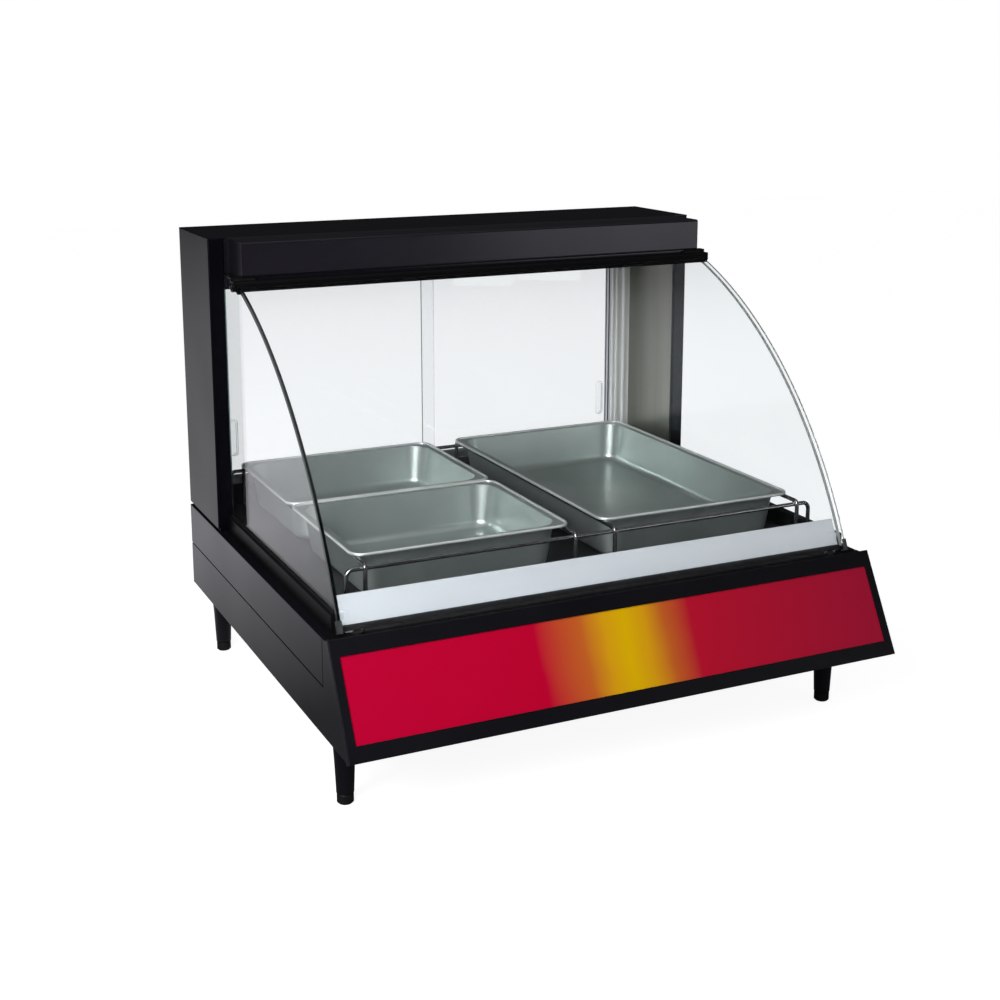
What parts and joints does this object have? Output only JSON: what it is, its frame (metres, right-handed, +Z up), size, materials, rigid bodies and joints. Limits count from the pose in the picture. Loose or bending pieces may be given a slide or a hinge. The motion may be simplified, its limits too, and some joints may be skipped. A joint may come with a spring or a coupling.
{
  "type": "heated display case",
  "caption": "Countertop heated food display case with curved top-hinged front glass, sliding rear doors, lifted wire rack with steel pans, tilted sign board and levelling feet.",
  "frame": {"origin": "middle of the bounding box on the level the feet stand on", "axes": "+X across the case to the right as the customer sees it, -Y towards the customer (the sign and the curved glass), +Z up"},
  "size_m": [0.83, 0.7516, 0.688],
  "materials": {
    "black_paint": "satin black powder coat",
    "deck_black": "matt black hard coat",
    "stainless": "brushed",
    "pan_steel": "bright satin",
    "bright_strip": "fine satin",
    "track_aluminium": "satin anodised",
    "galvanised": "dull",
    "clear_glass": "clear tempered",
    "sign_black": "gloss black",
    "sign_gradient": "gloss, red fading to yellow in the middle",
    "wire_chrome": "bright plated",
    "rod_sheath": "heat-dulled",
    "ceramic": "glazed, white",
    "lamp_glass": "frosted",
    "insulation_wool": "pressed mineral wool",
    "heater_foil": "foil faced",
    "rubber_black": "matt",
    "rubber_grey": "matt",
    "switch_plastic": "moulded",
    "switch_red": "moulded, red",
    "knob_plastic": "moulded",
    "pilot_amber": "clear moulded, amber",
    "housing_plastic": "moulded",
    "screw_steel": "plated"
  },
  "bodies": {
    "case": {"base_tray": "black_paint", "side_covers": "black_paint", "base_top_plate": "black_paint", "deck_plate": "deck_black", "deck_heater": "heater_foil", "deck_insulation": "insulation_wool", "deck_tray": "galvanised", "deck_sensor": "screw_steel", "front_riser": "bright_strip", "sign_frame": "sign_black", "sign_insert": "sign_gradient", "column_left": "black_paint", "column_right": "black_paint", "inner_panels": "stainless", "header_shell": "black_paint", "canopy_shell": "black_paint", "canopy_end_caps": "black_paint", "heat_reflector": "stainless", "infrared_element": "rod_sheath", "element_insulators": "ceramic", "element_guard": "wire_chrome", "display_lamps": "lamp_glass", "lamp_sockets": "ceramic", "rear_sill": "black_paint", "lower_track": "track_aluminium", "upper_track": "track_aluminium", "door_jambs": "track_aluminium", "side_rails": "black_paint", "side_glass_left": "clear_glass", "side_glass_right": "clear_glass", "hinge_brackets": "black_paint", "glass_pads": "rubber_grey", "rear_cover": "black_paint", "control_panel": "galvanised", "switch_bodies": "housing_plastic", "thermostat_body": "housing_plastic", "indicator_lamp": "pilot_amber", "cord_gland": "knob_plastic", "terminal_block": "ceramic", "cover_screws": "screw_steel", "legs": "black_paint"},
    "left_door": {"door_left": "clear_glass", "door_left_pull": "clear_glass"},
    "right_door": {"door_right": "clear_glass", "door_right_pull": "clear_glass"},
    "front_window": {"hinge_rail": "black_paint", "front_glass": "clear_glass", "glass_corner_guards": "rubber_black"},
    "rack": {"rack_rails": "wire_chrome", "rack_crossbars": "wire_chrome"},
    "full_pan": {"full_pan": "pan_steel"},
    "half_pan_rear": {"half_pan_rear": "pan_steel"},
    "half_pan_front": {"half_pan_front": "pan_steel"},
    "power_rocker": {"power_rocker": "switch_red"},
    "lamp_rocker": {"lamp_rocker": "switch_plastic"},
    "thermostat_knob": {"thermostat_knob": "knob_plastic"},
    "foot_front_left": {"foot_front_left": "rubber_black"},
    "foot_front_right": {"foot_front_right": "rubber_black"},
    "foot_rear_left": {"foot_rear_left": "rubber_black"},
    "foot_rear_right": {"foot_rear_right": "rubber_black"}
  },
  "joints": [
    {"name": "door_left_slide", "type": "slide", "parent": "case", "child": "left_door", "axis": [1, 0, 0], "range_m": [0, 0.352]},
    {"name": "door_right_slide", "type": "slide", "parent": "case", "child": "right_door", "axis": [-1, 0, 0], "range_m": [0, 0.352]},
    {"name": "front_glass_hinge", "type": "hinge", "parent": "case", "child": "front_window", "pos_m": [0, 0.12575, 0.626], "axis": [-1, 0, 0], "range_deg": [0, 75]},
    {"name": "rack_lift", "type": "slide", "parent": "case", "child": "rack", "axis": [0, 0, 1], "range_m": [0, 0.01]},
    {"name": "full_pan_lift", "type": "slide", "parent": "rack", "child": "full_pan", "axis": [0, 0, 1], "range_m": [0, 0.066]},
    {"name": "half_pan_rear_lift", "type": "slide", "parent": "rack", "child": "half_pan_rear", "axis": [0, 0, 1], "range_m": [0, 0.066]},
    {"name": "half_pan_front_lift", "type": "slide", "parent": "rack", "child": "half_pan_front", "axis": [0, 0, 1], "range_m": [0, 0.066]},
    {"name": "power_rocker_pivot", "type": "hinge", "parent": "case", "child": "power_rocker", "pos_m": [-0.147, 0.34775, 0.164], "axis": [1, 0, 0], "range_deg": [0, 20]},
    {"name": "lamp_rocker_pivot", "type": "hinge", "parent": "case", "child": "lamp_rocker", "pos_m": [-0.187, 0.34775, 0.164], "axis": [1, 0, 0], "range_deg": [0, 20]},
    {"name": "thermostat_turn", "type": "hinge", "parent": "case", "child": "thermostat_knob", "pos_m": [-0.283, 0.36075, 0.164], "axis": [0, -1, 0], "range_deg": [0, 300]},
    {"name": "foot_front_left_screw", "type": "hinge", "parent": "case", "child": "foot_front_left", "pos_m": [-0.3795, -0.25725, 0.03], "axis": [0, 0, 1], "range_deg": [-720, 720]},
    {"name": "foot_front_right_screw", "type": "hinge", "parent": "case", "child": "foot_front_right", "pos_m": [0.3795, -0.25725, 0.03], "axis": [0, 0, 1], "range_deg": [-720, 720]},
    {"name": "foot_rear_left_screw", "type": "hinge", "parent": "case", "child": "foot_rear_left", "pos_m": [-0.3795, 0.32775, 0.03], "axis": [0, 0, 1], "range_deg": [-720, 720]},
    {"name": "foot_rear_right_screw", "type": "hinge", "parent": "case", "child": "foot_rear_right", "pos_m": [0.3795, 0.32775, 0.03], "axis": [0, 0, 1], "range_deg": [-720, 720]}
  ]
}
